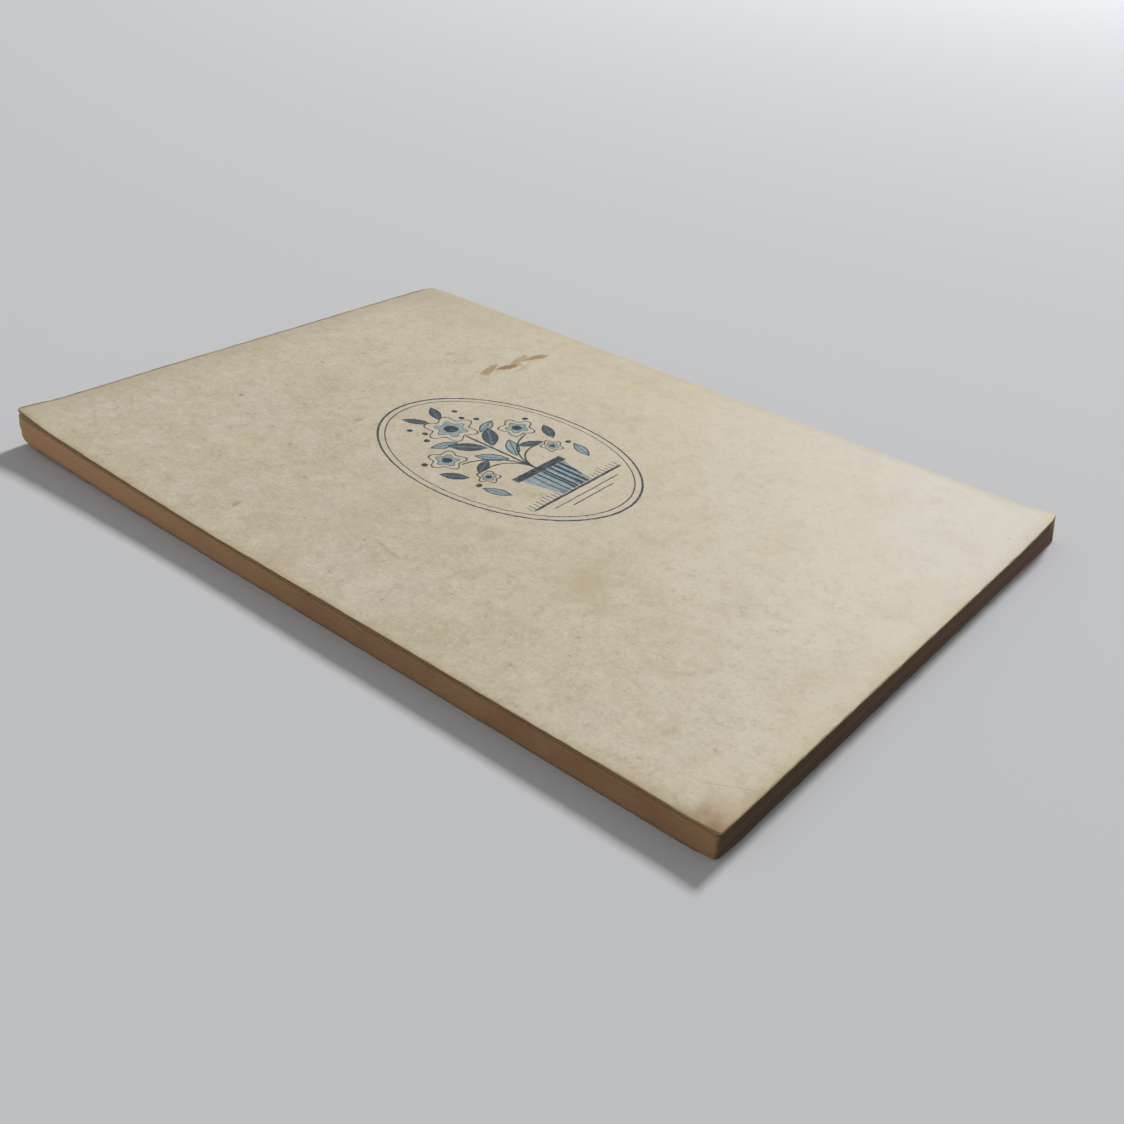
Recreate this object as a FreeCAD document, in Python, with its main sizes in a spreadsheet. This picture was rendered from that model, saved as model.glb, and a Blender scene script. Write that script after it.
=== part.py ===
import FreeCAD, Part

import enum
import math
import os

import Sketcher

# Paperback book with a square back, in millimetres.
# It lies on its front cover. +Z is up, +Y points to the head of the pages and +X to the spine.
# The origin is in the middle of the book's underside.
# At the head of the fore-edge the book has curled: its corner is off the table, the leaves
# have swollen there, and the back cover stands off the leaves.

SIZES = {
    "page_width": 152,  # from the fore-edge to the outside of the spine
    "page_height": 220,  # from the tail to the head
    "block_thickness": 5.8,  # all the leaves, pressed together at the spine
    "cover_stock": 0.3,  # the cover paper
    "cover_gap": 0.1,  # air between a cover and the leaves
    "glue_film": 0.3,  # between the leaves and the spine
    "fold_gap": 0.05,  # between the edge of the spine strip and a cover
    "trim": 3,  # cut off the leaves and covers at the head, the tail and the fore-edge
    "gathering_step": 0.12,  # how far every second gathering lies back from the trimmed edge
    "gathering_lap": 0.03,  # how deep a gathering beds into the leaves under it
    "curl_start": 10,  # where the curl begins, above the middle of the page
    "corner_lift": 1.4,  # rise of the front cover at the untrimmed sheet's curled corner
    "block_swell": 1.4,  # how much thicker the leaves are there
    "cover_curl": 3.9,  # rise of the back cover there
    "head_corner_radius": 1.4,  # worn corner of the leaves at the head
    "tail_corner_radius": 1.2,  # the same at the tail
    "bumped_head_radius": 4.5,  # the same for the lowest leaves and the front cover, at the head
    "bumped_tail_radius": 2,  # the same at the tail
    "cover_head_radius": 1.6,  # worn corner of the back cover at the head
    "cover_tail_radius": 0.7,  # the same at the tail
}
GATHERINGS = 4  # folded sheets of 16 leaves each

NEAR = 1e-4  # how close two points count as the same place


class Size:
    """A length or a place, as a number and as the expression that ties it to the sheet."""

    def __init__(self, value, text="0"):
        self.value = value
        self.text = text

    def __add__(self, other):
        return Size(self.value + other.value, f"({self.text} + {other.text})")

    def __sub__(self, other):
        return Size(self.value - other.value, f"({self.text} - {other.text})")

    def __mul__(self, factor):
        return Size(self.value * factor, f"({self.text} * {factor})")

    def __truediv__(self, divisor):
        return Size(self.value / divisor, f"({self.text} / {divisor})")

    def __neg__(self):
        return Size(-self.value, f"(-{self.text})")


def named(alias):
    return Size(SIZES[alias], f"Sizes.{alias}")


# Places that follow from the sizes
ZERO = Size(0)
COVER_STOCK = named("cover_stock")
HALF_WIDTH = named("page_width") / 2
HALF_HEIGHT = named("page_height") / 2
UNTRIMMED_EDGE = HALF_WIDTH + named("trim")
UNTRIMMED_REACH = HALF_HEIGHT + named("trim")
BLOCK_BOTTOM = COVER_STOCK + named("cover_gap")
BOOK_THICKNESS = named("block_thickness") + BLOCK_BOTTOM * 2
SPINE_INSIDE = HALF_WIDTH - COVER_STOCK
BLOCK_BACK = SPINE_INSIDE - named("glue_film")
FOLD_RADIUS = COVER_STOCK / 2
FOLD_X = HALF_WIDTH - FOLD_RADIUS
LEAF_RADII = (named("head_corner_radius"), named("tail_corner_radius"))
BUMPED_RADII = (named("bumped_head_radius"), named("bumped_tail_radius"))
COVER_RADII = (named("cover_head_radius"), named("cover_tail_radius"))


# The edges of a side profile in the order they are drawn, and the points of a sketch edge
Side = enum.IntEnum("Side", "UNDERSIDE UNDERSIDE_CURL HEAD TOP_CURL TOP TAIL", start=0)
Point = enum.IntEnum("Point", "START END CENTRE")


def make_sheet(document):
    sheet = document.addObject("Spreadsheet::Sheet", "Sizes")
    for row, (alias, value) in enumerate(SIZES.items(), start=1):
        sheet.set(f"A{row}", alias)
        sheet.set(f"B{row}", str(value))
        sheet.setAlias(f"B{row}", alias)
    document.recompute()


def bind(item, what, size):
    item.setExpression(what, size.text)


def new_body(document, name, height):
    """A body whose own zero height is at the given height in the book."""
    body = document.addObject("PartDesign::Body", name)
    body.Label = name
    bind(body, "Placement.Base.z", height)
    return body


def new_sketch(body, name, role, offset=ZERO):
    """A sketch on one of the body's own origin planes, moved along the plane's normal."""
    sketch = body.newObject("Sketcher::SketchObject", f"{body.Name}_{name}")
    plane = next(item for item in body.Origin.OriginFeatures if item.Role == role)
    sketch.AttachmentSupport = (plane, [""])
    sketch.MapMode = "FlatFace"
    bind(sketch, "AttachmentOffset.Base.z", offset)
    return sketch


def dimension(sketch, name, size, kind, *where):
    """Adds a named dimension that starts from its true value and is tied to the sheet."""
    index = sketch.addConstraint(Sketcher.Constraint(kind, *where, size.value))
    sketch.renameConstraint(index, name)
    bind(sketch, f"Constraints.{name}", size)


def place_across(sketch, name, edge, point, across):
    dimension(sketch, f"{name}_across", across, "DistanceX", -1, 1, edge, point)


def place_up(sketch, name, edge, point, up):
    dimension(sketch, f"{name}_up", up, "DistanceY", -1, 1, edge, point)


def place(sketch, name, edge, point, corner):
    place_across(sketch, name, edge, point, corner[0])
    place_up(sketch, name, edge, point, corner[1])


def join(sketch, kind, one, other):
    sketch.addConstraint(Sketcher.Constraint(kind, *one, *other))


def numbers(corner):
    return tuple(size.value for size in corner)


def segment(begin, end):
    return Part.LineSegment(FreeCAD.Vector(*begin, 0), FreeCAD.Vector(*end, 0))


def rising_arc(begin, end):
    """The arc that leaves the first point level and climbs to the second."""
    run = end[0] - begin[0]
    rise = end[1] - begin[1]
    radius = (run**2 + rise**2) / (2 * rise)
    centre = FreeCAD.Vector(begin[0], begin[1] + radius, 0)
    circle = Part.Circle(centre, FreeCAD.Vector(0, 0, 1), radius)
    first = circle.parameter(FreeCAD.Vector(*begin, 0))
    last = circle.parameter(FreeCAD.Vector(*end, 0))
    return Part.ArcOfCircle(circle, first, last)


def side_profile(body, name, offset, thickness, rises=None):
    """The outline of an untrimmed cover or leaves seen from the fore-edge, from tail to head.

    rises holds how far its underside and its top climb at the head on arcs that leave level.
    Without it both run on level.
    """
    sketch = new_sketch(body, name, "YZ_Plane", offset)
    low_rise, high_rise = rises or (ZERO, ZERO)
    tail_low = (-UNTRIMMED_REACH, ZERO)
    tail_high = (-UNTRIMMED_REACH, thickness)
    middle_low = (named("curl_start"), ZERO)
    middle_high = (named("curl_start"), thickness)
    head_low = (UNTRIMMED_REACH, low_rise)
    head_high = (UNTRIMMED_REACH, thickness + high_rise)

    climb = rising_arc if rises else segment
    for draw, begin, end in (
        (segment, tail_low, middle_low),
        (climb, middle_low, head_low),
        (segment, head_low, head_high),
        (climb, middle_high, head_high),
        (segment, tail_high, middle_high),
        (segment, tail_low, tail_high),
    ):
        sketch.addGeometry(draw(numbers(begin), numbers(end)))

    bend = "Tangent" if rises else "Coincident"
    join(sketch, bend, (Side.UNDERSIDE, Point.END), (Side.UNDERSIDE_CURL, Point.START))
    join(sketch, bend, (Side.TOP, Point.END), (Side.TOP_CURL, Point.START))
    join(sketch, "Coincident", (Side.UNDERSIDE_CURL, Point.END), (Side.HEAD, Point.START))
    join(sketch, "Coincident", (Side.TOP_CURL, Point.END), (Side.HEAD, Point.END))
    join(sketch, "Coincident", (Side.UNDERSIDE, Point.START), (Side.TAIL, Point.START))
    join(sketch, "Coincident", (Side.TOP, Point.START), (Side.TAIL, Point.END))

    place(sketch, "tail_low", Side.TAIL, Point.START, tail_low)
    place(sketch, "tail_high", Side.TAIL, Point.END, tail_high)
    place(sketch, "middle_low", Side.UNDERSIDE, Point.END, middle_low)
    place(sketch, "middle_high", Side.TOP, Point.END, middle_high)
    place(sketch, "head_low", Side.HEAD, Point.START, head_low)
    place(sketch, "head_high", Side.HEAD, Point.END, head_high)
    return sketch


def rectangle(sketch, low, high):
    """A rectangle between two corners."""
    left, bottom = numbers(low)
    right, top = numbers(high)
    corners = ((left, bottom), (right, bottom), (right, top), (left, top))
    for edge, begin in enumerate(corners):
        sketch.addGeometry(segment(begin, corners[(edge + 1) % 4]))
    for edge in range(4):
        join(sketch, "Coincident", (edge, Point.END), ((edge + 1) % 4, Point.START))
        direction = "Vertical" if edge % 2 else "Horizontal"
        sketch.addConstraint(Sketcher.Constraint(direction, edge))
    place(sketch, "low", 0, Point.START, low)
    place(sketch, "high", 2, Point.START, high)


def ruled_loft(body, fore_edge, spine_side):
    """Straight lines from the profile at the fore-edge to the one at the spine, as paper bends."""
    loft = body.newObject("PartDesign::AdditiveLoft", f"{body.Name}_loft")
    loft.Profile = fore_edge
    loft.Sections = [spine_side]
    loft.Ruled = True


def add_fold(body):
    """The half round at the end of a cover, centred on the line that the cover turns about."""
    sketch = new_sketch(body, "fold_profile", "XZ_Plane")
    across, radius = numbers((FOLD_X, FOLD_RADIUS))
    circle = Part.Circle(FreeCAD.Vector(across, radius, 0), FreeCAD.Vector(0, 0, 1), radius)
    bend = sketch.addGeometry(Part.ArcOfCircle(circle, -math.pi / 2, math.pi / 2))
    closing = sketch.addGeometry(segment((across, 2 * radius), (across, 0)))
    join(sketch, "Coincident", (closing, Point.START), (bend, Point.END))
    join(sketch, "Coincident", (closing, Point.END), (bend, Point.START))
    place(sketch, "turning_line", bend, Point.CENTRE, (FOLD_X, FOLD_RADIUS))
    place_across(sketch, "low_end", bend, Point.START, FOLD_X)
    place_across(sketch, "high_end", bend, Point.END, FOLD_X)
    dimension(sketch, "bend_radius", FOLD_RADIUS, "Radius", bend)

    pad = body.newObject("PartDesign::Pad", f"{body.Name}_fold")
    pad.Profile = sketch
    pad.SideType = "Symmetric"
    bind(pad, "Length", UNTRIMMED_REACH * 2)


def upright_edge(feature, corner):
    """The name of the upright edge that stands at the given place."""
    for number, edge in enumerate(feature.Shape.Edges, start=1):
        points = [vertex.Point for vertex in edge.Vertexes]
        if all(math.dist((point.x, point.y), corner) < NEAR for point in points):
            return f"Edge{number}"
    raise RuntimeError(f"{feature.Name} has no upright edge at {corner}")


def make_outline(document, name, radii, step=ZERO):
    """A tall block of the trimmed page's outline, with worn corners at the fore-edge.

    radii holds the corner's radius at the head and at the tail, and step is how far the
    outline lies back from the trimmed edges.
    """
    body = new_body(document, name, ZERO)
    sketch = new_sketch(body, "rectangle", "XY_Plane")
    edge_x = step - HALF_WIDTH
    reach = HALF_HEIGHT - step
    rectangle(sketch, (edge_x, -reach), (HALF_WIDTH + COVER_STOCK, reach))
    pad = body.newObject("PartDesign::Pad", f"{name}_pad")
    pad.Profile = sketch
    pad.SideType = "Symmetric"
    bind(pad, "Length", (BOOK_THICKNESS + named("cover_curl")) * 4)
    for end, corner_y, radius in zip(("head", "tail"), (reach, -reach), radii):
        document.recompute()
        base = body.Tip
        fillet = body.newObject("PartDesign::Fillet", f"{name}_{end}_corner")
        fillet.Base = (base, [upright_edge(base, numbers((edge_x, corner_y)))])
        bind(fillet, "Radius", radius)
    return body


def trimmed(document, name, sheet, outline):
    """A cover or some leaves, cut to an outline."""
    common = document.addObject("Part::Common", name)
    common.Label = name
    common.Base = sheet
    common.Tool = outline
    return common


def make_gathering(document, number, outline):
    """One folded sheet of leaves, which fans out towards the curled corner."""
    depth = named("block_thickness") / GATHERINGS
    swell = named("block_swell") / GATHERINGS
    rises = [named("corner_lift") + swell * level for level in (number, number + 1)]
    lap = named("gathering_lap") if number else ZERO
    thickness = depth + lap

    name = f"gathering_{number + 1}"
    body = new_body(document, f"{name}_leaves", BLOCK_BOTTOM + depth * number - lap)
    fore_edge = side_profile(body, "fore_edge", -UNTRIMMED_EDGE, thickness, rises)
    spine_side = side_profile(body, "spine_side", BLOCK_BACK, thickness)
    ruled_loft(body, fore_edge, spine_side)
    return trimmed(document, name, body, outline)


def make_page_block(document, bumped_outline):
    """The leaves, as one block. The lowest gathering has bumped corners.

    Every second gathering lies a little back from the trimmed edge.
    """
    plain = make_outline(document, "leaf_outline", LEAF_RADII)
    set_back = make_outline(document, "set_back_outline", LEAF_RADII, named("gathering_step"))
    outlines = [set_back if number % 2 else plain for number in range(1, GATHERINGS)]
    block = document.addObject("Part::MultiFuse", "page_block")
    block.Label = "page_block"
    block.Shapes = [
        make_gathering(document, number, outline)
        for number, outline in enumerate([bumped_outline, *outlines])
    ]
    block.Refine = True
    return block


def make_cover(document, name, height, curl, outline):
    """A cover. It curls up at the head of the fore-edge, and ends in its fold at the spine."""
    body = new_body(document, f"{name}_sheet", height)
    fore_edge = side_profile(body, "fore_edge", -UNTRIMMED_EDGE, COVER_STOCK, (curl, curl))
    fold_side = side_profile(body, "fold_side", FOLD_X, COVER_STOCK)
    ruled_loft(body, fore_edge, fold_side)
    add_fold(body)
    return trimmed(document, name, body, outline)


def make_back_cover(document):
    """The upper cover. It stands further off the leaves towards the curled corner."""
    outline = make_outline(document, "back_cover_outline", COVER_RADII)
    height = BOOK_THICKNESS - COVER_STOCK
    return make_cover(document, "back_cover", height, named("cover_curl"), outline)


def make_front_cover(document, bumped_outline):
    """The lower cover, which follows the leaves above it."""
    return make_cover(document, "front_cover", ZERO, named("corner_lift"), bumped_outline)


def make_strip(document, name, thickness, depth, inside, bottom):
    """A strip along the spine, as tall as the pages."""
    strip = document.addObject("Part::Box", name)
    strip.Label = name
    bind(strip, "Length", thickness)
    bind(strip, "Width", named("page_height"))
    bind(strip, "Height", depth)
    bind(strip, "Placement.Base.x", inside)
    bind(strip, "Placement.Base.y", -HALF_HEIGHT)
    bind(strip, "Placement.Base.z", bottom)
    return strip


def make_spine_glue(document):
    """The glue that holds the leaves together and to the cover, face to face with both."""
    thickness = named("glue_film")
    depth = named("block_thickness")
    return make_strip(document, "spine_glue", thickness, depth, BLOCK_BACK, BLOCK_BOTTOM)


def make_spine_cover(document):
    """The cover paper over the back. It stops short of the fold at each of its edges."""
    bottom = COVER_STOCK + named("fold_gap")
    depth = BOOK_THICKNESS - bottom * 2
    return make_strip(document, "spine_cover", COVER_STOCK, depth, SPINE_INSIDE, bottom)


def check(document, pieces):
    for item in document.Objects:
        if "Invalid" in item.State or "Error" in item.State:
            raise RuntimeError(f"{item.Label} didn't compute: {item.State}")
    for piece in pieces:
        if piece.Shape.isNull() or not piece.Shape.isValid() or len(piece.Shape.Solids) != 1:
            raise RuntimeError(f"{piece.Label} isn't one valid solid")


def main():
    document = FreeCAD.newDocument("paperback_book")
    make_sheet(document)
    bumped_outline = make_outline(document, "bumped_outline", BUMPED_RADII)
    pieces = [
        make_page_block(document, bumped_outline),
        make_spine_glue(document),
        make_spine_cover(document),
        make_back_cover(document),
        make_front_cover(document, bumped_outline),
    ]
    document.recompute()
    check(document, pieces)
    os.makedirs("parts", exist_ok=True)
    for piece in pieces:
        piece.Shape.exportStep(f"parts/{piece.Label}.step")
        print(f"{piece.Label}: {piece.Shape.Volume:.1f} cubic mm, {len(piece.Shape.Faces)} faces")


main()
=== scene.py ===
# %% [markdown]
# # An aged paperback, dressed over its CAD frame
# The book lies on its front cover with the back cover up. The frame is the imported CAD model: it
# fixes the size, the place of the two folds and how each cover turns. Everything here is made
# over it, in metres and in the same axes: +Z is up, +Y points to the head of the pages and +X to
# the spine. The camera comes first, then the leaves, the two covers, the glue, and the light.

import math
import random

import bpy
from mathutils import Matrix, Vector


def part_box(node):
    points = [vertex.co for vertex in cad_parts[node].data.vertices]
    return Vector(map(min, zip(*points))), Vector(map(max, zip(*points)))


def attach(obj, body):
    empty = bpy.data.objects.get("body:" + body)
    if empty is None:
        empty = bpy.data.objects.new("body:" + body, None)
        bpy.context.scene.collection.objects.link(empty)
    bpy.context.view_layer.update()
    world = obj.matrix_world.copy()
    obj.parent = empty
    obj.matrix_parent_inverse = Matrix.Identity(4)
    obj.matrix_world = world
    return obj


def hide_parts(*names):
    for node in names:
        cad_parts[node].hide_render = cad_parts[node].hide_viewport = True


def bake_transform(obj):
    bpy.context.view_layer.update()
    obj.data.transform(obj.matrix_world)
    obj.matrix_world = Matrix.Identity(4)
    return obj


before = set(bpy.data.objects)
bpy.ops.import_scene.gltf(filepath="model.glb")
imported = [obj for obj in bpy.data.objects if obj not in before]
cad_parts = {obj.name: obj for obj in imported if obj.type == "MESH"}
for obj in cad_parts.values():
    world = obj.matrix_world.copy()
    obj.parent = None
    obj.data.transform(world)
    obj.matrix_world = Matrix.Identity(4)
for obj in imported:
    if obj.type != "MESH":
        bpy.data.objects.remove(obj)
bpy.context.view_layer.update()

# %% [markdown]
# ## Sizes
# The outer places come from the CAD nodes, so the pieces can't drift apart from them. A length in
# metres is written as a number times MM. The trimmed page and places on it are in millimetres.

# %% Sizes that the pieces share
MM = 0.001
block_low, block_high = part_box("page_block")
_, back_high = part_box("back_cover")

HALF_WIDTH = back_high[0]
HALF_HEIGHT = back_high[1]
PAGE_WIDTH = 152
PAGE_HEIGHT = 220
COVER_STOCK = 0.3 * MM
COVER_TOP = 6.6 * MM
BLOCK_BOTTOM = block_low[2]
BLOCK_TOP = 6.2 * MM
BLOCK_BACK = block_high[0]
print("leaves from", round(BLOCK_BOTTOM / MM, 2), "to", BLOCK_TOP / MM, "mm at the spine")

# %% [markdown]
# ## Camera
# A camera is placed by the point that it looks at, its direction from that point, its distance
# and its roll. These were worked out from the four corners of the cover in the photograph, so
# the rendered corners fall where the real ones do. The third turn is the roll, because the
# picture was taken by hand and leans by a few degrees.

# %% Place the camera
AZIMUTH = math.radians(-52.07)
ELEVATION = math.radians(32.05)
ROLL = math.radians(3.72)
DISTANCE = 298.5 * MM
TARGET = Vector((-19.6 * MM, -28.2 * MM, 0))
FOCAL_IN_WIDTHS = 1267.1 / 1124

turn = (
    Matrix.Rotation(AZIMUTH, 3, "Z")
    @ Matrix.Rotation(math.pi / 2 - ELEVATION, 3, "X")
    @ Matrix.Rotation(ROLL, 3, "Z")
)
bpy.ops.object.camera_add(location=TARGET + turn.col[2] * DISTANCE, rotation=turn.to_euler())
camera = bpy.context.object
camera.data.sensor_width = 36
camera.data.lens = 36 * FOCAL_IN_WIDTHS
camera.data.clip_start = 0.01
bpy.context.scene.camera = camera
print("camera at", [round(value, 3) for value in camera.location])
print("lens", round(camera.data.lens, 2), "mm")

# %% [markdown]
# ## Ways of working
# Operators act on whatever is selected, so each step selects exactly what it needs: a helper
# picks vertices or faces by a rule on their place, and the operator then does the work. Extruded
# faces stay selected, which lets a stack of leaves be drawn up ring by ring.

# %% Selection helpers
def start_piece(name):
    """Names the new primitive and opens it for editing, with all of it selected."""
    piece = bpy.context.object
    piece.name = piece.data.name = name
    bpy.ops.object.mode_set(mode="EDIT")
    bpy.ops.mesh.select_all(action="SELECT")
    return piece


def deselect_all():
    bpy.ops.object.select_all(action="DESELECT")


def pick(piece, kind, rule):
    """Selects the vertices or faces that the rule is true for. kind is "VERT" or "FACE"."""
    bpy.ops.mesh.select_all(action="DESELECT")
    bpy.ops.mesh.select_mode(type=kind)
    bpy.ops.object.mode_set(mode="OBJECT")
    for item in piece.data.vertices if kind == "VERT" else piece.data.polygons:
        item.select = rule(item)
    bpy.ops.object.mode_set(mode="EDIT")


def report_skin(piece):
    """Prints how many edges have one face or more than two: a closed skin has none."""
    bpy.ops.object.mode_set(mode="EDIT")
    bpy.ops.mesh.select_mode(type="EDGE")
    bpy.ops.mesh.select_all(action="DESELECT")
    bpy.ops.mesh.select_non_manifold()
    bpy.ops.object.mode_set(mode="OBJECT")
    open_edges = sum(edge.select for edge in piece.data.edges)
    print(piece.name, "has", len(piece.data.polygons), "faces and", open_edges, "open edges")


def flat_page(name, left, right, reach, height, cell, corner_radii=()):
    """A flat net of small squares, open for editing. The radii round its fore-edge corners."""
    deselect_all()
    across = max(1, round((right - left) / cell))
    along = round(2 * reach / cell)
    bpy.ops.mesh.primitive_grid_add(
        x_subdivisions=across,
        y_subdivisions=along,
        size=1,
        location=((left + right) / 2, 0, height),
    )
    piece = start_piece(name)
    bpy.ops.transform.resize(value=(right - left, 2 * reach, 1))
    bpy.ops.object.mode_set(mode="OBJECT")
    bpy.ops.object.transform_apply(location=True, rotation=False, scale=False)
    bpy.ops.object.mode_set(mode="EDIT")
    for end, radius in zip((1, -1), corner_radii):
        corner = Vector((left, end * reach, height))
        pick(piece, "VERT", lambda vertex: (vertex.co - corner).length < 0.1 * MM)
        bpy.ops.mesh.bevel(offset=radius, segments=5, affect="VERTICES")
    bpy.ops.mesh.select_all(action="SELECT")
    return piece


# %% [markdown]
# ## The curl
# Damp has curled the head corner of the fore-edge: the whole corner is off the table, the leaves
# have swollen and the back cover stands off them. Paper bends along straight lines, so the rise
# grows as an arc towards the head and falls off evenly towards the spine. A lattice is the
# natural tool: a cage of points round the book whose lifted points carry the mesh with them. The
# cage's lower and upper points can rise by different amounts, which is how the block swells. A
# knock at the tail of the spine has pushed its corner in and up, leaves, glue and cover together.

# %% Move a piece with a cage
CURL_START = 10
HINGE = 75.85
UNTRIMMED_CORNER = (-79, 113)


def arc_rise(x, y, height):
    """The curl at a place of the book in millimetres, for a rise at the untrimmed corner."""
    if y <= CURL_START:
        return 0
    towards_head = (y - CURL_START) / (UNTRIMMED_CORNER[1] - CURL_START)
    from_spine = (HINGE - x) / (HINGE - UNTRIMMED_CORNER[0])
    return height * towards_head**2 * from_spine


def smooth_step(value):
    value = min(max(value, 0), 1)
    return value * value * (3 - 2 * value)


def knock(x, y, level):
    """How far the knock at the tail of the spine has pushed a place along x, y and z.

    It is strongest at the top, where the level is 1. Wear has also drawn in the head corner.
    """
    near_tail = smooth_step((-101 - y) / 9)
    at_back = smooth_step((x - 70) / 6)
    tail_corner = at_back * smooth_step((-104 - y) / 6)
    head_corner = at_back * smooth_step((y - 104) / 6)
    inwards = -0.6 * level * smooth_step((x - 66) / 10) * near_tail - 0.5 * head_corner
    upwards = 1.2 * smooth_step((x - 50) / 26) * near_tail - 0.2 * head_corner
    return inwards, 0.9 * level * tail_corner - 0.6 * head_corner, upwards * level


def bump_in(x, y):
    """How far the foot of the fore-edge's corners has been pushed along x and y."""
    head = smooth_step((-68 - x) / 8) * smooth_step((y - 102) / 8)
    tail = smooth_step((-70 - x) / 6) * smooth_step((-104 - y) / 6)
    return 0.45 * head + 0.3 * tail, 0.3 * tail - 0.4 * head


CAGE_POINTS_ACROSS = 39
CAGE_POINTS_ALONG = 56


def lift(piece, move, low, high, levels=2):
    """Moves the piece with a cage that reaches from a low to a high place.

    move tells how far a place goes along x, y and z, all in millimetres. It is given x, y and the
    level, which is 0 at the foot of the cage and 1 at its top.
    """
    deselect_all()
    bpy.ops.object.add(type="LATTICE", location=(0, 0, (low + high) / 2))
    cage = bpy.context.object
    cage.scale = (2 * HALF_WIDTH, 2 * HALF_HEIGHT, high - low)
    cage.data.points_u = CAGE_POINTS_ACROSS
    cage.data.points_v = CAGE_POINTS_ALONG
    cage.data.points_w = levels
    cage.data.interpolation_type_u = cage.data.interpolation_type_v = "KEY_CARDINAL"
    cage.data.interpolation_type_w = "KEY_LINEAR"
    for point in cage.data.points:
        x, y, level = point.co.x * PAGE_WIDTH, point.co.y * PAGE_HEIGHT, point.co.z + 0.5
        across, along, up = move(x, y, level)
        point.co_deform.x += across / PAGE_WIDTH
        point.co_deform.y += along / PAGE_HEIGHT
        point.co_deform.z += up * MM / (high - low)
    bpy.context.view_layer.update()

    deselect_all()
    bpy.context.view_layer.objects.active = piece
    piece.select_set(True)
    curl = piece.modifiers.new("curl", "LATTICE")
    curl.object = cage
    bpy.ops.object.modifier_apply(modifier=curl.name)
    bpy.data.objects.remove(cage)


# %% [markdown]
# ## Leaves
# The block is 64 leaves of soft paper in four gatherings. Its edges carry the detail: each leaf
# is a thin ridge with a groove to the next, none is trimmed quite like its neighbour, and every
# second gathering lies a hair further back. Separate leaves would be thousands of hidden faces,
# so one net is drawn up ring by ring: up for a leaf, up and in for the groove. An attribute keeps
# each point's height in the flat stack, so that lines in the material follow the leaves.

# %% Stack the leaves
LEAVES = 64
LEAVES_IN_GATHERING = 16
GATHERING_STEP = 0.12 * MM
LEAF = (BLOCK_TOP - BLOCK_BOTTOM) / LEAVES
GROOVE_DEPTH = 0.05 * MM

chance = random.Random(7)
leaves = flat_page(
    "leaves", -HALF_WIDTH, BLOCK_BACK, HALF_HEIGHT, BLOCK_BOTTOM, 4 * MM, (1.4 * MM, 1.2 * MM)
)
block_width = BLOCK_BACK + HALF_WIDTH


def draw_up(rise, inset, last_inset):
    """One ring: extrudes the top faces and sets how far their outline lies back."""
    bpy.ops.mesh.extrude_region_move(TRANSFORM_OT_translate={"value": (0, 0, rise)})
    shrink_x = (block_width - inset) / (block_width - last_inset)
    shrink_y = (HALF_HEIGHT - inset) / (HALF_HEIGHT - last_inset)
    bpy.ops.transform.resize(value=(shrink_x, shrink_y, 1), center_override=(BLOCK_BACK, 0, 0))


last_inset = 0
for leaf in range(LEAVES):
    step = GATHERING_STEP * (leaf // LEAVES_IN_GATHERING % 2)
    inset = step + chance.uniform(0, 0.06) * MM
    draw_up(0.25 * LEAF, inset, last_inset)
    draw_up(0.5 * LEAF, inset, inset)
    draw_up(0.25 * LEAF, inset + GROOVE_DEPTH, inset)
    last_inset = inset + GROOVE_DEPTH
bpy.ops.mesh.select_all(action="SELECT")
bpy.ops.mesh.normals_make_consistent(inside=False)
bpy.ops.object.mode_set(mode="OBJECT")

height_in_stack = leaves.data.attributes.new("height_in_stack", "FLOAT", "POINT")
for vertex, height in zip(leaves.data.vertices, height_in_stack.data):
    height.value = vertex.co.z / MM


def move_block(x, y, level):
    """The block curls and swells. Its lowest leaves are bumped in at the fore-edge's corners."""
    low = max(0, 1 - 2.8 * level) ** 2
    bumped_x, bumped_y = bump_in(x, y)
    knocked_x, knocked_y, knocked_up = knock(x, y, level)
    rise = arc_rise(x, y, 1.4 + 1.5 * level) + knocked_up
    return low * bumped_x + knocked_x, low * bumped_y + knocked_y, rise


lift(leaves, move_block, BLOCK_BOTTOM, BLOCK_TOP, levels=9)
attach(leaves, "book_block")
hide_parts("page_block")
report_skin(leaves)

# %% [markdown]
# ## Glue
# The film between the leaves and the back is a thin bar, drawn up in a few rings so that it can
# take the knock at its tail end. It stops just short of the ends of the leaves.

# %% Lay the glue
glue_low, glue_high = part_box("spine_glue")
glue = flat_page(
    "glue", glue_low[0], glue_high[0], HALF_HEIGHT - 0.15 * MM, BLOCK_BOTTOM, 2 * MM
)
GLUE_RINGS = 4
ring = (BLOCK_TOP - BLOCK_BOTTOM) / GLUE_RINGS
for _ in range(GLUE_RINGS):
    bpy.ops.mesh.extrude_region_move(TRANSFORM_OT_translate={"value": (0, 0, ring)})
bpy.ops.mesh.select_all(action="SELECT")
bpy.ops.mesh.normals_make_consistent(inside=False)
bpy.ops.object.mode_set(mode="OBJECT")
lift(glue, move_block, BLOCK_BOTTOM, BLOCK_TOP)
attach(glue, "book_block")
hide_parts("spine_glue")
report_skin(glue)

# %% [markdown]
# ## Covers
# The cover is one sheet of soft card, folded at both edges of the back. The fold is real paper:
# the flat net gets its thickness, its spine end is spun a quarter turn round the inside of the
# fold, and the end is drawn on over the back. The back cover takes nearly all of the back with
# it, so the one joint between the two sheets lies low, beside the front cover's fold. Hand wear
# shows at the outline, which is moved a little at random before the sheet gets its thickness, so
# that both its faces keep the same ragged line.

# %% Fold a cover sheet
FOLD_INSIDE = 0.02 * MM
JOINT_HEIGHT = 0.6 * MM


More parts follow.
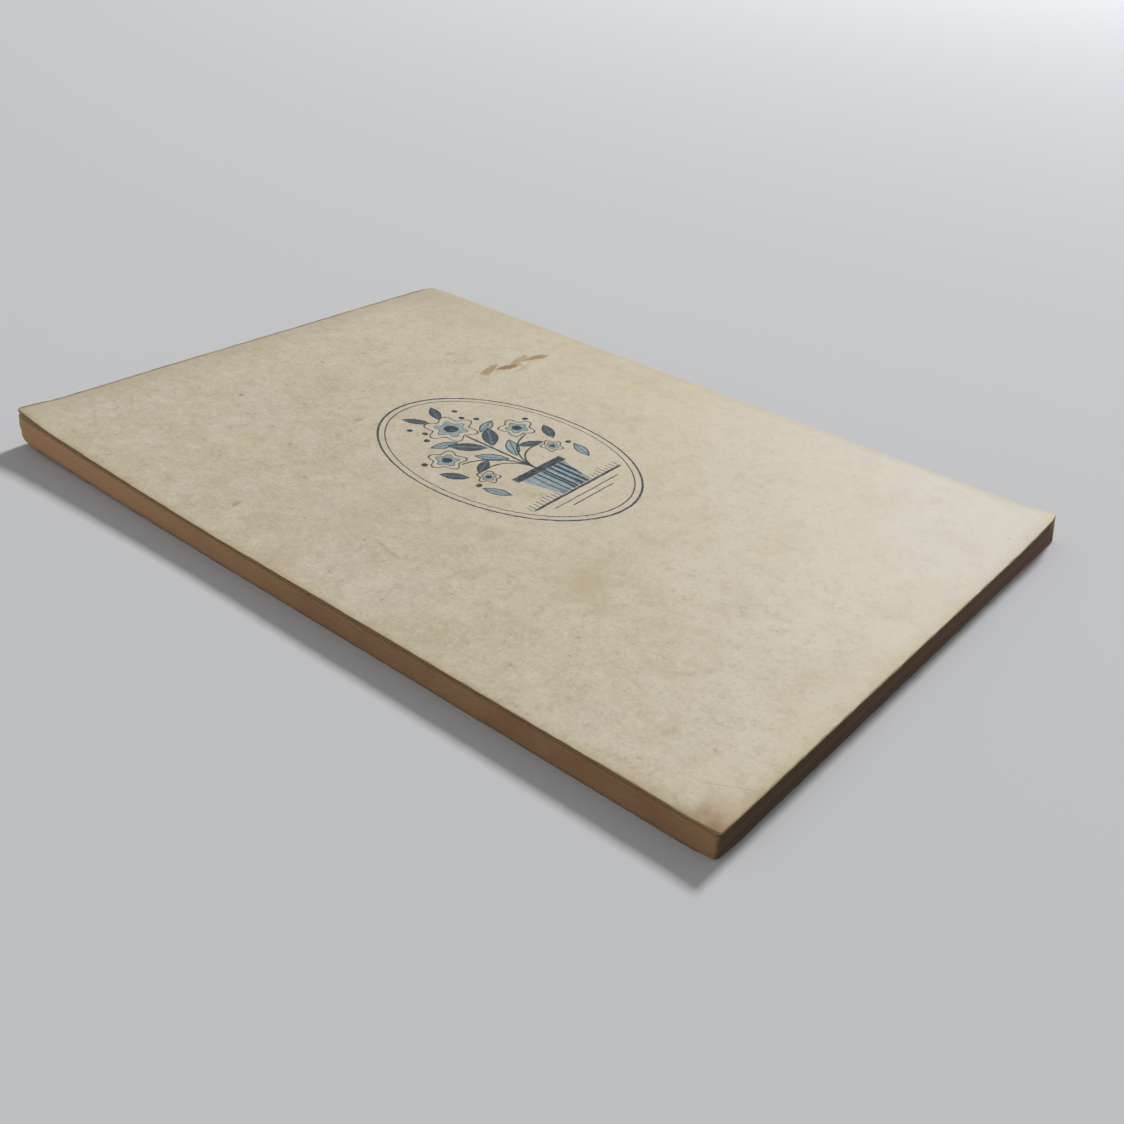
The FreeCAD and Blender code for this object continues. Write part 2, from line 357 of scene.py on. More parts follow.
def cover_sheet(name, corner_radii, seed, back_depth):
    """The upper cover, still flat, with the back drawn on to a depth below the cover's top."""
    radius_outside = COVER_STOCK + FOLD_INSIDE
    fold_x = HALF_WIDTH - radius_outside
    inside = COVER_TOP - COVER_STOCK
    margin = 0.12 * MM
    sheet = flat_page(
        name, -HALF_WIDTH + margin, fold_x, HALF_HEIGHT - margin, inside, 2 * MM, corner_radii
    )
    bpy.ops.mesh.region_to_loop()
    bpy.ops.transform.vertex_random(offset=0.1 * MM, uniform=1, normal=0, seed=seed)
    bpy.ops.mesh.select_all(action="SELECT")
    bpy.ops.transform.resize(value=(1, 1, 0), center_override=(0, 0, inside))
    pick(sheet, "VERT", lambda vertex: vertex.co.x > fold_x - 1 * MM)
    bpy.ops.transform.resize(value=(0, 1, 1), center_override=(fold_x, 0, 0))
    bpy.ops.mesh.select_all(action="SELECT")
    bpy.ops.mesh.extrude_region_move(TRANSFORM_OT_translate={"value": (0, 0, COVER_STOCK)})
    bpy.ops.mesh.select_all(action="SELECT")
    bpy.ops.mesh.normals_make_consistent(inside=False)

    pick(sheet, "FACE", lambda face: face.normal.x > 0.9 and face.center.x > fold_x - 0.1 * MM)
    centre = (fold_x, 0, inside - FOLD_INSIDE)
    bpy.ops.mesh.spin(steps=6, angle=math.pi / 2, center=centre, axis=(0, -1, 0))
    rings = math.ceil(back_depth / MM)
    drop = (COVER_TOP - back_depth - centre[2]) / rings
    for _ in range(rings):
        bpy.ops.mesh.extrude_region_move(TRANSFORM_OT_translate={"value": (0, 0, drop)})
    bpy.ops.mesh.select_all(action="SELECT")
    bpy.ops.mesh.remove_doubles(threshold=0.001 * MM)
    bpy.ops.mesh.normals_make_consistent(inside=False)
    bpy.ops.object.mode_set(mode="OBJECT")
    return sheet


def soften_edges(piece):
    """Rounds the cut edges of the paper a little, and shades all but them smooth."""
    deselect_all()
    bpy.context.view_layer.objects.active = piece
    piece.select_set(True)
    wear = piece.modifiers.new("worn_edges", "BEVEL")
    wear.width = 0.07 * MM
    wear.segments = 2
    wear.limit_method = "ANGLE"
    wear.angle_limit = math.radians(50)
    bpy.ops.object.modifier_apply(modifier=wear.name)
    bpy.ops.object.shade_smooth_by_angle(angle=math.radians(40))


# %% [markdown]
# ### Back cover
# It carries the strongest curl. Both its corners at the fore-edge are turned up a little, and the
# sheet isn't quite flat anywhere: two slow waves keep its light from looking machine made. The
# sheet rises as a whole, while the back below it rises less and less towards its foot.

# %% Shape the back cover
def move_back_cover(x, y, level):
    turned_up = 0.4 * smooth_step((-69 - x) / 7) * smooth_step((-103 - y) / 7)
    tip = 0.7 * smooth_step((-62 - x) / 14) * smooth_step((y - 95) / 15)
    wave = 0.06 * (1 + math.sin(x / 17 + y / 31)) + 0.05 * (1 + math.sin(y / 13 - x / 29))
    from_spine = smooth_step((74 - x) / 30)
    share = min(1, level * COVER_TOP / (COVER_TOP - COVER_STOCK))
    knocked_x, knocked_y, knocked_up = knock(x, y, share)
    rise = arc_rise(x, y, 3.4) + turned_up + tip + wave * from_spine
    return knocked_x, knocked_y, rise * share + knocked_up


back_cover = cover_sheet(
    "back_cover_paper", (1.6 * MM, 0.7 * MM), 3, COVER_TOP - JOINT_HEIGHT
)
soften_edges(back_cover)
lift(back_cover, move_back_cover, 0, COVER_TOP, levels=23)
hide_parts("back_cover", "spine_cover")
report_skin(back_cover)

# %% [markdown]
# ### Front cover
# The same sheet turned over: it is scaled by minus one in height, which turns it inside out, so
# its normals are made consistent again. It follows the lowest leaf at the curled corner.

# %% Shape the front cover
def move_front_cover(x, y, level):
    bumped_x, bumped_y = bump_in(x, y)
    knocked_x, knocked_y, _ = knock(x, y, 0)
    return 1.6 * bumped_x + knocked_x, 1.6 * bumped_y + knocked_y, arc_rise(x, y, 1.4)


front_cover = cover_sheet("front_cover_paper", (1.6 * MM, 1.4 * MM), 11, JOINT_HEIGHT)
bpy.ops.object.mode_set(mode="EDIT")
bpy.ops.mesh.select_all(action="SELECT")
bpy.ops.transform.resize(value=(1, 1, -1), center_override=(0, 0, COVER_TOP / 2))
bpy.ops.mesh.normals_make_consistent(inside=False)
bpy.ops.object.mode_set(mode="OBJECT")
soften_edges(front_cover)
lift(front_cover, move_front_cover, 0, COVER_TOP)
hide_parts("front_cover")
report_skin(front_cover)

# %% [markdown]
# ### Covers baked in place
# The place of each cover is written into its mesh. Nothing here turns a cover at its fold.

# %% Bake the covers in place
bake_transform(back_cover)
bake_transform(front_cover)

# %% [markdown]
# ## Writing materials as sums
# A shader graph is easier to read as arithmetic. A Value wraps one output socket, and adding,
# taking away or multiplying Values lays down the Math nodes. Finish opens a new material and has
# one method for any other node: its settings are set first, then its inputs are filled with
# numbers or linked to Values.

# %% Shader arithmetic
class Value:
    """An output socket that can be used in a sum."""

    def __init__(self, finish, socket):
        self.finish = finish
        self.socket = socket

    def maths(self, operation, *others):
        return self.finish.maths(operation, self, *others)

    def __add__(self, other):
        return self.maths("ADD", other)

    def __sub__(self, other):
        return self.maths("SUBTRACT", other)

    def __rsub__(self, other):
        return self.finish.maths("SUBTRACT", other, self)

    def __mul__(self, other):
        return self.maths("MULTIPLY", other)

    def __truediv__(self, other):
        return self.maths("DIVIDE", other)

    def __abs__(self):
        return self.maths("ABSOLUTE")

    __radd__ = __add__
    __rmul__ = __mul__


class Finish:
    """A new material whose nodes are added by name."""

    def __init__(self, name, roughness):
        self.material = bpy.data.materials.new(name)
        self.material.use_nodes = True
        self.tree = self.material.node_tree
        self.shader = self.tree.nodes["Principled BSDF"]
        self.shader.inputs["Roughness"].default_value = roughness
        place = self.node("ShaderNodeTexCoord", output="Object")
        self.place = self.node(
            "ShaderNodeVectorMath", {"operation": "SCALE"}, {"Vector": place, "Scale": 1 / MM}
        )
        axes = self.tree.nodes.new("ShaderNodeSeparateXYZ")
        self.tree.links.new(self.place.socket, axes.inputs[0])
        self.x, self.y, self.z = (Value(self, socket) for socket in axes.outputs)

    def node(self, kind, settings=None, inputs=None, output=0):
        made = self.tree.nodes.new(kind)
        for name, setting in (settings or {}).items():
            setattr(made, name, setting)
        for name, value in (inputs or {}).items():
            if isinstance(value, Value):
                self.tree.links.new(value.socket, made.inputs[name])
            else:
                made.inputs[name].default_value = value
        return Value(self, made.outputs[output])

    def maths(self, operation, *values):
        return self.node("ShaderNodeMath", {"operation": operation}, dict(enumerate(values)))

    def ramp(self, value, low, high):
        """0 at low and 1 at high, with soft ends. low may be the higher number."""
        return self.node(
            "ShaderNodeMapRange",
            {"interpolation_type": "SMOOTHSTEP"},
            {"Value": value, "From Min": low, "From Max": high},
        )

    def noise(self, size, detail=3, stretch=(1, 1, 1), shift=0, roughness=0.5):
        """Cloudy noise from 0 to 1, with blots of about the given size in millimetres."""
        place = self.node(
            "ShaderNodeMapping",
            None,
            {"Vector": self.place, "Location": (shift, shift, shift), "Scale": stretch},
        )
        return self.node(
            "ShaderNodeTexNoise",
            None,
            {"Vector": place, "Scale": 1 / size, "Detail": detail, "Roughness": roughness},
        )

    def mix(self, factor, one, other):
        """A colour between two, each a Value or a colour that is given as on a screen."""
        return self.node(
            "ShaderNodeMix",
            {"data_type": "RGBA"},
            {0: factor, 6: as_colour(one), 7: as_colour(other)},
            output=2,
        )

    def distance(self, x, y):
        return self.maths("SQRT", x * x + y * y)

    def bump(self, height, depth):
        """Relief from a height of 0 to 1, which stands for the given depth in millimetres."""
        relief = self.node("ShaderNodeBump", None, {"Height": height, "Distance": depth * MM})
        self.connect(relief, "Normal")

    def connect(self, value, socket):
        self.tree.links.new(value.socket, self.shader.inputs[socket])

    def put_on(self, piece, slot=0):
        while len(piece.data.materials) <= slot:
            piece.data.materials.append(None)
        piece.data.materials[slot] = self.material


def as_colour(value):
    """Screen red, green and blue of 0 to 255 as the light values that Blender adds up."""
    if isinstance(value, Value):
        return value
    shares = [part / 255 for part in value]
    linear = [
        share / 12.92 if share <= 0.04045 else ((share + 0.055) / 1.055) ** 2.4 for share in shares
    ]
    return (*linear, 1)


# %% [markdown]
# ## Cover paper
# Aged ivory card: a warm ground with soft clouds a few centimetres across, paler towards the tail
# of the spine, partly in its own tone and partly as painted sheen, with grey-brown flecks and
# fibres, and tone along the edges where air reached the paper. Painted shade darkens the head,
# the head of the spine and a thin line at the cut edge. Both covers and the back use this ground,
# so one function lays it, and the back cover adds its own marks.

# %% The ground of the cover paper
def paper_ground(finish):
    """Colour and relief of the aged card, with painted sheen towards the tail of the spine, before
    marks that belong to one cover.
    """
    clouds = finish.noise(26, 3, shift=3)
    blush = finish.ramp(clouds, 0.4, 0.65)
    colour = finish.mix(blush, (186, 175, 153), (189, 177, 157))
    # Paler towards the tail of the spine, partly in the card's tone and partly as painted sheen;
    # marks fade there too.
    across = finish.x * 1.5 - finish.y
    sheen_and_cleaner_side = finish.ramp(across, -103, 225)
    colour = finish.mix(finish.ramp(across, -110, 130), colour, (199, 188, 164))
    painted_sheen_and_paler_tone = finish.ramp(finish.x * 0.6 - finish.y, 20, 135)
    colour = finish.mix(painted_sheen_and_paler_tone, colour, (210, 203, 191))
    worn = 1 - sheen_and_cleaner_side * 0.7
    foxing = finish.ramp(finish.noise(7, 4, shift=40, roughness=0.65), 0.5, 0.72)
    colour = finish.mix(foxing * worn * 0.26, colour, (176, 162, 122))
    patches = finish.noise(13, 3, shift=210)
    colour = finish.mix(finish.ramp(patches, 0.5, 0.72) * worn * 0.26, colour, (168, 153, 120))
    colour = finish.mix(finish.ramp(patches, 0.5, 0.28) * worn * 0.22, colour, (202, 192, 173))

    mottle = finish.noise(3.4, 5, stretch=(1, 0.9, 1), shift=15, roughness=0.78)
    colour = finish.mix(finish.ramp(mottle, 0.46, 0.74) * worn * 0.52, colour, (158, 145, 117))
    colour = finish.mix(finish.ramp(mottle, 0.5, 0.28) * worn * 0.45, colour, (207, 198, 180))
    tooth = finish.noise(0.9, 3, stretch=(1, 0.9, 1), shift=33, roughness=0.8)
    colour = finish.mix(finish.ramp(tooth, 0.5, 0.78) * worn * 0.55, colour, (150, 139, 115))
    colour = finish.mix(finish.ramp(tooth, 0.48, 0.24) * worn * 0.4, colour, (218, 211, 196))
    fleck_place = finish.noise(1.5, 3, stretch=(1, 0.7, 1), shift=70, roughness=0.7)
    flecks = finish.ramp(fleck_place, 0.6, 0.72) * finish.ramp(mottle, 0.42, 0.6) * worn
    colour = finish.mix(flecks * 0.6, colour, (132, 119, 95))
    return colour, mottle


def edge_tone(finish, colour):
    """Browner paper towards the cut edges and the fold, unevenly, with painted shade along the
    head and at the cut edge.
    """
    from_side = finish.x + 76
    from_end = 110 - abs(finish.y)
    from_cut = from_side.maths("MINIMUM", from_end)
    from_edge = from_cut + finish.noise(7, 3, shift=120) * 5
    tone = finish.ramp(from_edge, 7, 1.5)
    colour = finish.mix(tone * 0.35, colour, (180, 160, 114))
    # Painted shade: darker along the head and towards the head of the spine, where the key light
    # falls off.
    colour = finish.mix(finish.ramp(finish.y, 96, 110) * 0.34, colour, (160, 148, 126))
    painted_shade_towards_spine_head = finish.ramp(finish.x, 40, 76) * finish.ramp(finish.y, 30, 112)
    colour = finish.mix(painted_shade_towards_spine_head * 0.45, colour, (166, 152, 124))
    reach = finish.noise(4, 3, shift=150) * 1.2 + finish.ramp(finish.y, 100, 110) * 0.5
    rim = finish.ramp(from_cut / reach, 1.1, 0.3)
    colour = finish.mix(rim * 0.8, colour, (122, 92, 58))
    # The very cut edge: browned, and darkened further as painted shade of the gap between cover
    # and leaves.
    colour = finish.mix(finish.ramp(from_cut, 0.34, 0.16) * 0.75, colour, (88, 62, 38))
    fold = finish.ramp(finish.x + finish.noise(5, 3, shift=85) * 3, 74.2, 76.6)
    return finish.mix(fold * 0.35, colour, (184, 168, 132))


def grain(finish, mottle):
    """The tooth of the paper: fine grain over the slow unevenness of the sheet."""
    fine = finish.noise(0.35, 3, shift=8)
    finish.bump(fine * 0.6 + mottle * 0.4, 0.05)


# %% [markdown]
# ## Printed ornament
# The back cover carries a small print in blue ink. The book keeps a plain traditional ornament
# there: a potted flower in an oval frame. Each shape is a sum that is below 1 inside it, and a
# line is drawn where the sum is near 1. Taking the size of x first mirrors the left half onto
# the right. A little noise moves every line as an uneven hand would, and the ink itself is
# thinner in places.

# %% Draw the ornament in ink
ORNAMENT_X = 2
ORNAMENT_Y = 9
ORNAMENT_SCALE = 1.12


class Ornament:
    """Gathers lines and tints of one print, as masks from 0 to 1."""

    def __init__(self, finish):
        self.finish = finish
        tremble = finish.noise(1.4, 2, shift=200) * 0.5 - 0.25
        self.x = (finish.x - ORNAMENT_X + tremble) / ORNAMENT_SCALE
        self.y = (finish.y - ORNAMENT_Y + tremble) / ORNAMENT_SCALE
        self.side = abs(self.x)
        self.lines = None
        self.tints = None

    def add_line(self, mask):
        self.lines = mask if self.lines is None else self.lines.maths("MAXIMUM", mask)

    def add_tint(self, mask):
        self.tints = mask if self.tints is None else self.tints.maths("MAXIMUM", mask)

    def near(self, distance, width):
        """A line of the given width where the distance is 0."""
        return self.finish.ramp(abs(distance), width / 2 + 0.09, width / 2 - 0.09)

    def inside(self, share, blur=0.06):
        """Filled where the share is below 1."""
        return self.finish.ramp(share, 1 + blur, 1 - blur)

    def oval(self, half_width, half_height, line):
        share = self.finish.distance(self.side / half_width, self.y / half_height)
        self.add_line(self.near((share - 1) * (half_width + half_height) / 2, line))

    def bar(self, low, high, half_width, flare=0.0):
        """Filled between two heights. The half width grows by flare for each mm of height."""
        middle, half = (low + high) / 2, (high - low) / 2
        across = self.side / ((self.y - low) * flare + half_width)
        upwards = abs(self.y - middle) / half
        return self.inside(across.maths("MAXIMUM", upwards), 0.05)

    def stem(self, bend_radius, foot, reach, line=0.45):
        """An arc that leaves the pot upright and bows outwards."""
        from_centre = self.finish.distance(self.side - bend_radius, self.y - foot)
        arc = self.near(from_centre - bend_radius, line)
        above = self.finish.ramp(self.y, foot - 0.1, foot + 0.1)
        before = self.finish.ramp(self.side, reach + 0.1, reach - 0.1)
        self.add_line(arc * above * before)

    def berry(self, x, y, radius):
        self.add_line(self.inside(self.finish.distance(self.side - x, self.y - y) / radius, 0.12))

    def grass(self, foot, reach):
        """Short upright strokes of uneven height along the ground."""
        stroke = self.finish.maths("SINE", self.x * 5.2)
        tall = self.finish.noise(1.7, 1, stretch=(1, 0.01, 1), shift=9) * 4.6
        blades = self.finish.ramp(stroke, 0.55, 0.9)
        blades = blades * self.finish.ramp(self.side, reach, reach - 4)
        low = self.finish.ramp(self.y, foot - 0.1, foot + 0.1)
        self.add_line(blades * low * self.finish.ramp(self.y - foot - tall, 0.1, -0.4) * 0.8)

    def leaf(self, x, y, angle, length, width, dark=False):
        """A pointed leaf with a vein, its middle at x, y on both sides. Dark ones are shaded."""
        turned = math.radians(angle)
        dx, dy = self.side - x, self.y - y
        along = (dx * math.cos(turned) + dy * math.sin(turned)) / length
        across = abs(dy * math.cos(turned) - dx * math.sin(turned)) / width
        share = across + along * along
        self.add_tint(self.inside(share))
        if dark:
            self.add_line(self.inside(share) * self.finish.ramp(across, 0.05, 0.2) * 0.9)
        self.add_line(self.near((share - 1) * width, 0.36))
        vein = self.near(across * width, 0.22) * self.inside(abs(along), 0.08)
        self.add_line(vein)

    def flower(self, x, y, radius, petals):
        """Round petals about a dark middle."""
        dx, dy = self.side - x, self.y - y
        from_middle = self.finish.distance(dx, dy)
        round_angle = self.finish.maths("ARCTAN2", dy, dx) * petals
        edge = self.finish.maths("COSINE", round_angle) * (0.16 * radius) + 0.84 * radius
        self.add_line(self.near(from_middle - edge, 0.4))
        self.add_line(self.near(from_middle - edge * 0.62, 0.22))
        self.add_tint(self.inside(from_middle / (edge * 0.62)))
        self.add_line(self.inside(from_middle / (0.27 * radius)))


def draw_ornament(finish):
    print_ = Ornament(finish)
    print_.oval(24, 35, 0.5)
    print_.oval(22.4, 33.2, 0.3)
    pot = print_.bar(-21, -11, 4.8, 0.24)
    print_.add_tint(pot)
    ribs = finish.maths("SINE", print_.side * 3.6)
    print_.add_line(pot * finish.ramp(ribs + print_.x * 0.12, 0.1, 0.6))
    print_.add_line(print_.bar(-11, -8.8, 8.2))
    print_.add_line(print_.bar(-22, -21.3, 15))
    print_.grass(-21.3, 18)
    print_.add_line(print_.bar(-24.2, -23.9, 11))
    print_.add_line(print_.bar(-26, -25.7, 7))
    print_.add_line(print_.bar(-9, 13, 0.3))
    print_.stem(13, -9, 11)
    print_.stem(7.5, -9, 9.5)
    print_.flower(0, 18, 6.6, 6)
    print_.flower(12, 7.6, 4.6, 5)
    print_.flower(11, -4.4, 2.8, 5)
    print_.leaf(3.8, 8.8, 50, 4.6, 1.8, True)
    print_.leaf(3.6, 1.4, 55, 4.0, 1.5)
    print_.leaf(8.2, -0.2, -25, 3.2, 1.2, True)
    print_.leaf(7.2, 13.2, 20, 3.4, 1.3)
    print_.leaf(16.2, 1.2, 60, 3.4, 1.3, True)
    print_.leaf(3.2, 26.5, 62, 3.4, 1.2, True)
    print_.leaf(14.6, -10.4, 70, 3.4, 1.2)
    for x, y in ((6.2, 20.5), (8.4, 17.6), (17.2, 9.6), (15.4, -5.6), (7.6, 24.2)):
        print_.berry(x, y, 0.75)
    return print_.lines, print_.tints


def print_ornament(finish, colour):
    lines, tints = draw_ornament(finish)
    wear = finish.ramp(finish.noise(0.8, 3, shift=260), 0.3, 0.6)
    colour = finish.mix(tints * (0.45 + wear * 0.35), colour, (92, 134, 150))
    return finish.mix(lines * (0.85 + wear * 0.15), colour, (4, 35, 54))


# %% [markdown]
# ## Marks of the back cover
# The stains stay as the photograph shows them: a brown smudge and a few spots towards the spine,
# tan damp at the tail corner of the fore-edge that runs along both edges, with a paler patch
# beside it, yellowed clouds, a faint ring that a glass left, two dark specks, a crease and a
# scratch. Each is a soft shape at its place, broken up with noise.

# %% Paint the back cover
def blot(finish, x, y, half_width, half_height, angle=0.0, softness=0.9, raggedness=0.9):
    """A soft mark with an uneven outline: 1 in its middle, 0 outside."""
    turned = math.radians(angle)
    dx, dy = finish.x - x, finish.y - y
    along = (dx * math.cos(turned) + dy * math.sin(turned)) / half_width
    across = (dy * math.cos(turned) - dx * math.sin(turned)) / half_height
    uneven = (finish.noise(min(half_width, half_height), 3, shift=x + y) - 0.5) * raggedness * 2
    return finish.ramp(finish.distance(along, across) + uneven, 1.3, 1.3 - softness)


def back_cover_finish():
    finish = Finish("aged_cover_paper_with_print", 0.78)
    colour, mottle = paper_ground(finish)
    colour = edge_tone(finish, colour)
    colour = print_ornament(finish, colour)
    for x, y, half_width, half_height, angle, softness, strength, stain in (
        (38, 48.6, 3.8, 1.4, 20, 0.5, 0.7, (148, 110, 58)),
        (44, 46.4, 3.6, 1.1, -15, 0.4, 0.85, (132, 92, 44)),
        (50, 47.4, 4.8, 1.3, 12, 0.6, 0.6, (158, 122, 72)),
        (56, 45.4, 3.6, 1.3, -12, 0.5, 0.75, (144, 104, 54)),
        (46, 42.8, 4.4, 0.9, 5, 0.7, 0.35, (166, 138, 90)),
        (38, 65, 1.6, 1.1, 0, 0.8, 0.4, (160, 140, 92)),
        (-12, 50, 1.4, 1.0, 0, 0.6, 0.45, (156, 126, 88)),
        (58, 13, 3.2, 2.2, 20, 1.0, 0.35, (196, 180, 116)),
        (-26, 82, 0.8, 0.6, 0, 0.7, 0.6, (110, 98, 78)),
        (-63, 36.5, 1.8, 0.7, 15, 0.8, 0.45, (124, 112, 86)),
        (-74, -108, 10, 8, 40, 1.2, 0.45, (162, 142, 108)),
        (-77, -101, 4, 15, 0, 1.2, 0.55, (150, 132, 92)),
        (-64, -111, 15, 3.4, 0, 1.2, 0.5, (156, 138, 106)),
        (-75.5, -108, 6, 5, 40, 1.1, 0.7, (130, 98, 58)),
        (-30, -108, 70, 14, 0, 1.3, 0.22, (188, 168, 120)),
        (-62, -101, 8, 4, -20, 1.3, 0.25, (204, 194, 174)),
        (75, -109, 5, 3, 0, 1.0, 0.4, (206, 188, 146)),
        (-42, 60, 9, 5, 30, 1.2, 0.3, (190, 178, 140)),
        (14, -66, 12, 7, 15, 1.2, 0.25, (190, 176, 140)),
        (-31, -43, 12, 7, 60, 1.2, 0.5, (172, 157, 118)),
        (-48, 12, 22, 9, 0, 1.3, 0.28, (172, 156, 118)),
        (-30, -15, 5, 4, 0, 1.2, 0.45, (166, 154, 124)),
    ):
        mark = blot(finish, x, y, half_width, half_height, angle, softness)
        colour = finish.mix(mark * strength, colour, stain)

    from_ring = finish.distance(finish.x + 37, finish.y + 74) + finish.noise(6, 3, shift=31) * 2
    broken = finish.ramp(finish.noise(8, 2, shift=61), 0.35, 0.6)
    ring = finish.ramp(abs(from_ring - 9.5), 2.6, 0.2) * broken * 0.28
    colour = finish.mix(ring, colour, (176, 164, 136))

    slope = finish.x + 51 + (finish.y - 1.5) * -0.21 + finish.noise(3, 2, shift=90) * 1.6 - 0.8
    crease = finish.ramp(abs(slope), 0.8, 0.1) * finish.ramp(abs(finish.y + 3.2), 6, 3)
    colour = finish.mix(crease * 0.45, colour, (160, 138, 122))
    line = finish.x + 67 + (finish.y + 100) * 0.56
    scratch = finish.ramp(abs(line), 0.35, 0.1) * finish.ramp(abs(finish.y + 104.5), 5.5, 4)
    colour = finish.mix(scratch * 0.2, colour, (146, 128, 100))

    finish.connect(colour, "Base Color")
    fine = finish.noise(0.35, 3, shift=8)
    finish.bump(fine * 0.5 + mottle * 0.35 - crease * 0.4 - scratch * 0.4, 0.06)
    return finish


def front_cover_finish():
    finish = Finish("aged_cover_paper", 0.78)
    colour, mottle = paper_ground(finish)
    colour = edge_tone(finish, colour)
    finish.connect(colour, "Base Color")
    grain(finish, mottle)
    return finish


back_cover_finish().put_on(back_cover)
front_cover_finish().put_on(front_cover)
print("papers:", sorted(material.name for material in bpy.data.materials))

# %% [markdown]
# ## Leaves: cut edges and open pages
# The cut edges have browned far more than the covers, in streaks that follow the leaves. Shade is
# painted on them as well: the tail, the foot of the stack and its top under the cover are painted
# darker, and the fore-edge is painted lighter towards the head. The streaks read the height in the
# flat stack, so they curl up with the leaves. The outermost pages and the insides of the covers,
# seen when a cover is open, are plain aged paper, brown at the rim.

# %% Finish the leaves
def leaf_edges():
    finish = Finish("browned_leaf_edges", 0.85)
    level = finish.node("ShaderNodeAttribute", {"attribute_name": "height_in_stack"}, output="Fac")
    streak_place = finish.node(
        "ShaderNodeCombineXYZ",
        None,
        {"X": finish.x * 0.03, "Y": finish.y * 0.03, "Z": level * 3.2},
    )
    streaks = finish.node(
        "ShaderNodeTexNoise",
        None,
        {"Vector": streak_place, "Scale": 1, "Detail": 4, "Roughness": 0.7},
    )
    clouds = finish.noise(11, 3, shift=55)
    colour = finish.mix(finish.ramp(clouds, 0.35, 0.7), (158, 124, 86), (148, 112, 80))
    # Painted light: the fore-edge is painted lighter towards the head.
    colour = finish.mix(finish.ramp(finish.y, -30, 80) * 0.85, colour, (188, 148, 108))
    colour = finish.mix(finish.ramp(streaks, 0.5, 0.85) * 0.45, colour, (112, 86, 60))
    colour = finish.mix(finish.ramp(streaks, 0.46, 0.15) * 0.35, colour, (180, 146, 110))
    # Painted contact shadow: the lowest leaves are painted darker.
    painted_contact_shadow = finish.ramp(level, 1.6, 0.3)
    colour = finish.mix(painted_contact_shadow * 0.35, colour, (104, 80, 56))
    # Painted shade: the top leaves are painted darker, under the edge of the back cover.
    painted_shade_under_cover = finish.ramp(level, 5.4, 6.1)
    colour = finish.mix(painted_shade_under_cover * 0.45, colour, (92, 66, 44))
    # Painted shade: the tail of the block is painted dark, darkest at the fore-edge end.
    tail = finish.ramp(finish.y, -109, -109.8) * 0.78
    painted_tail_shade_colour = finish.mix(finish.ramp(finish.x, -76, 76), (70, 63, 46), (112, 91, 82))
    colour = finish.mix(tail, colour, painted_tail_shade_colour)
    finish.connect(colour, "Base Color")
    finish.bump(streaks, 0.12)
    return finish


def open_page(name, light, dark, browning):
    finish = Finish(name, 0.85)
    clouds = finish.noise(30, 3, shift=11)
    colour = finish.mix(finish.ramp(clouds, 0.35, 0.7), light, dark)
    from_cut = (finish.x + 76).maths("MINIMUM", 110 - abs(finish.y))
    from_edge = from_cut + finish.noise(9, 3, shift=5) * 6
    colour = finish.mix(finish.ramp(from_edge, 17, 3) * browning, colour, (176, 144, 100))
    gutter = finish.ramp(finish.x, 64, 75)
    colour = finish.mix(gutter * 0.3, colour, (176, 144, 100))
    specks = finish.ramp(finish.noise(1.6, 3, shift=77), 0.66, 0.78)
    colour = finish.mix(specks * 0.5, colour, (168, 138, 96))
    fibres = finish.noise(0.8, 3, stretch=(1, 0.6, 1), shift=18, roughness=0.7)
    colour = finish.mix(finish.ramp(fibres, 0.5, 0.8) * 0.3, colour, (186, 168, 132))
    finish.connect(colour, "Base Color")
    finish.bump(finish.noise(0.4, 3), 0.05)
    return finish


def put_inside(finish, piece, rule):
    """Lays a finish on the faces that the rule is true for, as the piece's second material."""
    finish.put_on(piece, 1)
    for face in piece.data.polygons:
        face.material_index = 1 if rule(face) else 0
    print(piece.name, "inside faces:", sum(face.material_index for face in piece.data.polygons))


page = open_page("aged_page", (222, 208, 178), (214, 198, 164), 0.6)
lining = open_page("aged_cover_inside", (214, 202, 176), (209, 196, 168), 0.4)
leaf_edges().put_on(leaves)
put_inside(page, leaves, lambda face: abs(face.normal.z) > 0.9 and face.area > 2 * MM * MM)
put_inside(lining, back_cover, lambda face: face.normal.z < -0.7)
put_inside(lining, front_cover, lambda face: face.normal.z > 0.7)

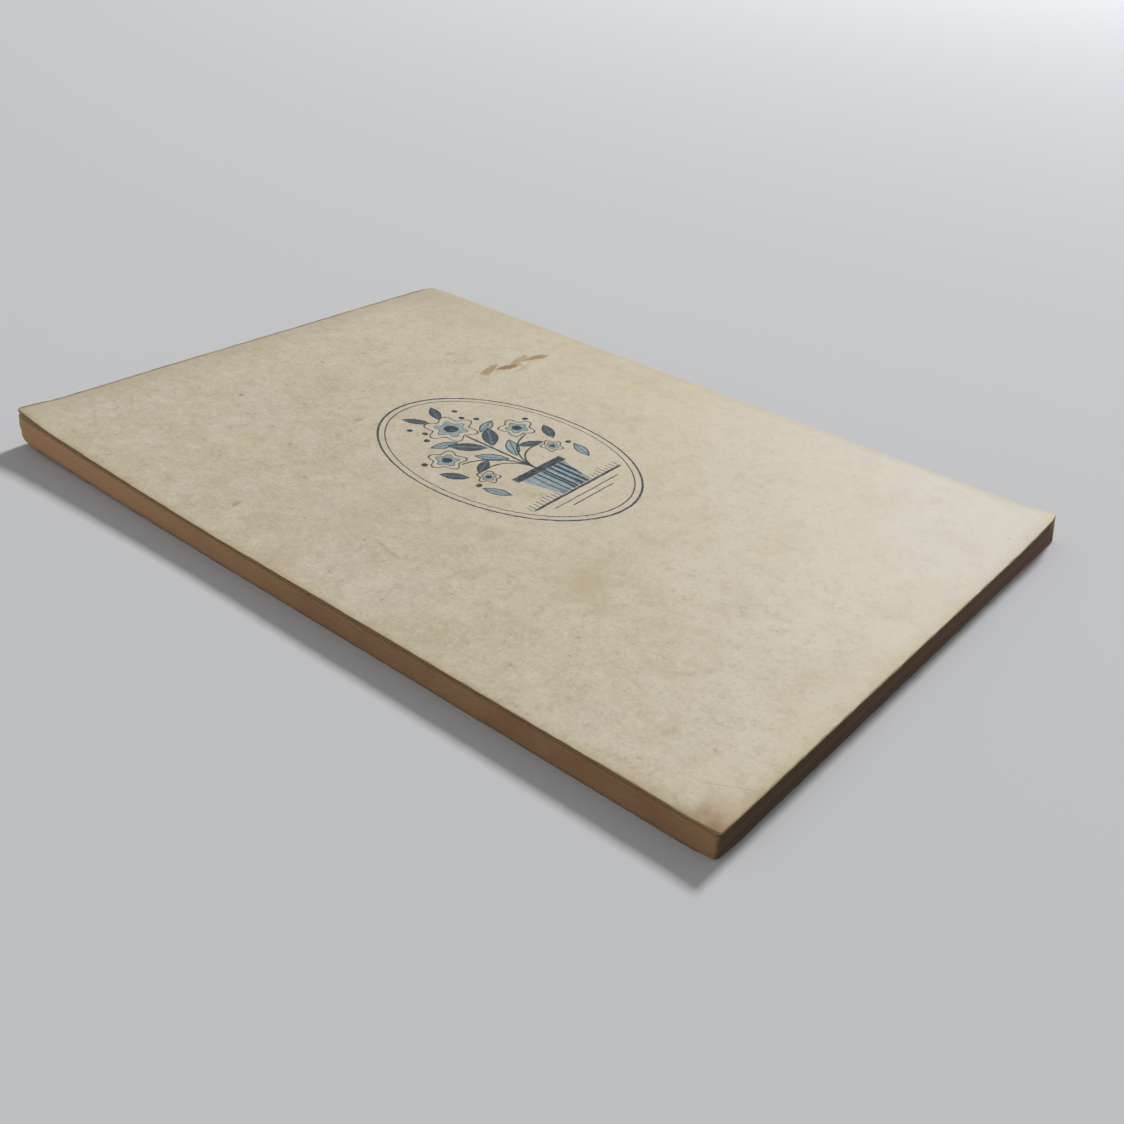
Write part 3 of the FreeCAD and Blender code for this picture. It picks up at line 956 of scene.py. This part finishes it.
# %% [markdown]
# ### Glue
# It only shows at its ends and when a cover is open: old animal glue, amber, a little glossy and
# cracked in fine lines.

# %% Finish the glue
def glue_finish():
    finish = Finish("old_glue", 0.45)
    clouds = finish.noise(4, 4, shift=21)
    colour = finish.mix(finish.ramp(clouds, 0.35, 0.7), (150, 112, 62), (116, 82, 44))
    finish.connect(colour, "Base Color")
    finish.bump(finish.noise(0.7, 4, stretch=(1, 0.3, 1)), 0.15)
    return finish


glue_finish().put_on(glue)
print("glue finished")

# %% [markdown]
# ## Floor and light
# A plain pale floor, so that only the book speaks. One large soft lamp stands to the right, at
# about forty degrees, where the shadow in the photograph puts it: the shadow falls to the left of
# the fore-edge and hardly at all off the tail. A weak lamp on the left keeps the fore-edge
# readable, and an even world fills the rest.

# %% Lay the floor
deselect_all()
bpy.ops.mesh.primitive_grid_add(x_subdivisions=8, y_subdivisions=8, size=6, location=(0, 0, 0))
floor = bpy.context.object
floor.name = "floor"
floor_finish = Finish("pale_floor", 1.0)
floor_finish.shader.inputs["Specular IOR Level"].default_value = 0
floor_finish.shader.inputs["Base Color"].default_value = as_colour((194, 195, 197))
floor_finish.put_on(floor)

# %% Hang the lamps
def soft_lamp(name, towards, distance, size, power):
    """A square lamp that looks at the book from the given direction."""
    direction = Vector(towards).normalized()
    bpy.ops.object.light_add(type="AREA", location=direction * distance)
    lamp = bpy.context.object
    lamp.name = name
    lamp.data.size = size
    lamp.data.energy = power
    lamp.rotation_euler = direction.to_track_quat("Z", "Y").to_euler()
    return lamp


key_lamp = soft_lamp("key_lamp", (1.12, 0.15, 1.0), 3.0, 0.55, 82)
fill_lamp = soft_lamp("fill_lamp", (-1.0, 0.1, 0.5), 1.2, 0.8, 2.4)
world = bpy.data.worlds.new("even_light")
bpy.context.scene.world = world
world.use_nodes = True
world.node_tree.nodes["Background"].inputs["Color"].default_value = (1, 1, 1, 1)
world.node_tree.nodes["Background"].inputs["Strength"].default_value = 0.32
bpy.context.scene.view_settings.view_transform = "Standard"
print("lamps:", key_lamp.name, fill_lamp.name)
